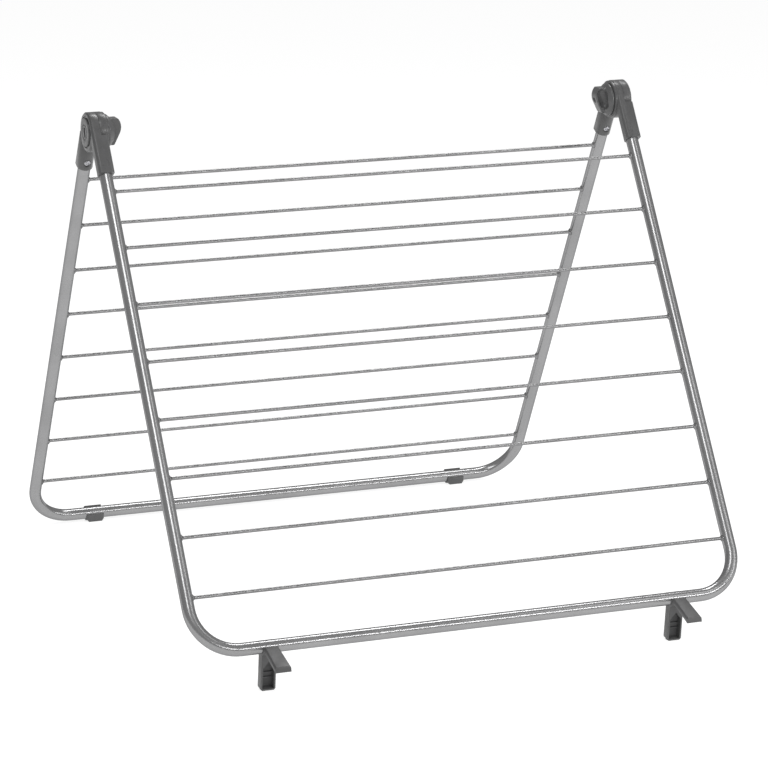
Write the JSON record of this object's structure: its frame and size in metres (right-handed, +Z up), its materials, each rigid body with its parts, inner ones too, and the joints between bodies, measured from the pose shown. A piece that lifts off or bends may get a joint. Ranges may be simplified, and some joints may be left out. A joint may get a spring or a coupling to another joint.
{
  "type": "folding clothes airer",
  "caption": "A-frame clothes airer: two bent-tube frames with straight drying rods, hinged at the top by clamped plastic arms, on clip-on feet.",
  "frame": {"origin": "centre of the footprint on the floor, below the middle of the bounding box", "axes": "+X along the drying rods, to the right seen from the front; -Y is the front frame's side; +Z up"},
  "size_m": [0.6665, 0.7174, 0.5729],
  "materials": {
    "frame_paint": "silver-grey powder coat with a soft gloss",
    "rod_paint": "silver-grey powder coat over drawn wire",
    "hinge_plastic": "dark grey moulded plastic, fine texture",
    "knob_plastic": "dark grey moulded plastic, slightly polished by hands",
    "foot_plastic": "dark grey flexible moulded plastic",
    "zinc_steel": "zinc plated",
    "screw_chrome": "bright plated",
    "insert_brass": "turned"
  },
  "bodies": {
    "rear_frame": {"rear_frame_tube": "frame_paint", "rear_rod_1": "rod_paint", "rear_rod_2": "rod_paint", "rear_rod_3": "rod_paint", "rear_rod_4": "rod_paint", "rear_rod_5": "rod_paint", "rear_rod_6": "rod_paint", "rear_rod_7": "rod_paint", "rear_rod_8": "rod_paint", "rear_arm_left": "hinge_plastic", "rear_arm_right": "hinge_plastic", "clamp_bolt_right": "zinc_steel", "tube_screw_rear_left": "screw_chrome", "tube_screw_rear_right": "screw_chrome"},
    "front_frame": {"front_frame_tube": "frame_paint", "front_rod_1": "rod_paint", "front_rod_2": "rod_paint", "front_rod_3": "rod_paint", "front_rod_4": "rod_paint", "front_rod_5": "rod_paint", "front_rod_6": "rod_paint", "front_rod_7": "rod_paint", "front_rod_8": "rod_paint", "front_arm_left": "hinge_plastic", "front_arm_right": "hinge_plastic", "clamp_bolt_left": "zinc_steel", "tube_screw_front_left": "screw_chrome", "tube_screw_front_right": "screw_chrome"},
    "left_washer": {"clamp_washer_left": "zinc_steel"},
    "left_knob": {"clamp_knob_left": "knob_plastic", "knob_insert_left": "insert_brass"},
    "right_washer": {"clamp_washer_right": "zinc_steel"},
    "right_knob": {"clamp_knob_right": "knob_plastic", "knob_insert_right": "insert_brass"},
    "left_hook_foot": {"hook_foot_left": "foot_plastic"},
    "right_hook_foot": {"hook_foot_right": "foot_plastic"},
    "left_clip_foot": {"clip_foot_left": "foot_plastic"},
    "right_clip_foot": {"clip_foot_right": "foot_plastic"}
  },
  "joints": [
    {"name": "fold", "type": "hinge", "parent": "rear_frame", "child": "front_frame", "pos_m": [0, 0.05249, 0.55039], "axis": [1, 0, 0], "range_deg": [-28, 61]},
    {"name": "left_knob_release", "type": "slide", "parent": "front_frame", "child": "left_washer", "axis": [1, 0, 0], "range_m": [0, 0.002]},
    {"name": "left_knob_turn", "type": "hinge", "parent": "left_washer", "child": "left_knob", "pos_m": [-0.3225, 0.05249, 0.55039], "axis": [1, 0, 0], "range_deg": [0, 720]},
    {"name": "right_knob_release", "type": "slide", "parent": "rear_frame", "child": "right_washer", "axis": [-1, 0, 0], "range_m": [0, 0.002]},
    {"name": "right_knob_turn", "type": "hinge", "parent": "right_washer", "child": "right_knob", "pos_m": [0.3225, 0.05249, 0.55039], "axis": [-1, 0, 0], "range_deg": [0, 720]},
    {"name": "left_hook_foot_swivel", "type": "hinge", "parent": "front_frame", "child": "left_hook_foot", "pos_m": [-0.242, -0.30942, 0.0505], "axis": [1, 0, 0], "range_deg": [-45, 10]},
    {"name": "right_hook_foot_swivel", "type": "hinge", "parent": "front_frame", "child": "right_hook_foot", "pos_m": [0.242, -0.30942, 0.0505], "axis": [1, 0, 0], "range_deg": [-45, 10]},
    {"name": "left_clip_foot_swivel", "type": "hinge", "parent": "rear_frame", "child": "left_clip_foot", "pos_m": [-0.242, 0.34948, 0.0094], "axis": [1, 0, 0], "range_deg": [-45, 45]},
    {"name": "right_clip_foot_swivel", "type": "hinge", "parent": "rear_frame", "child": "right_clip_foot", "pos_m": [0.242, 0.34948, 0.0094], "axis": [1, 0, 0], "range_deg": [-45, 45]}
  ],
  "couplings": [
    {"joint": "left_knob_release", "follows": "left_knob_turn", "m_per_rad": 0.00015915},
    {"joint": "right_knob_release", "follows": "right_knob_turn", "m_per_rad": 0.00015915}
  ]
}
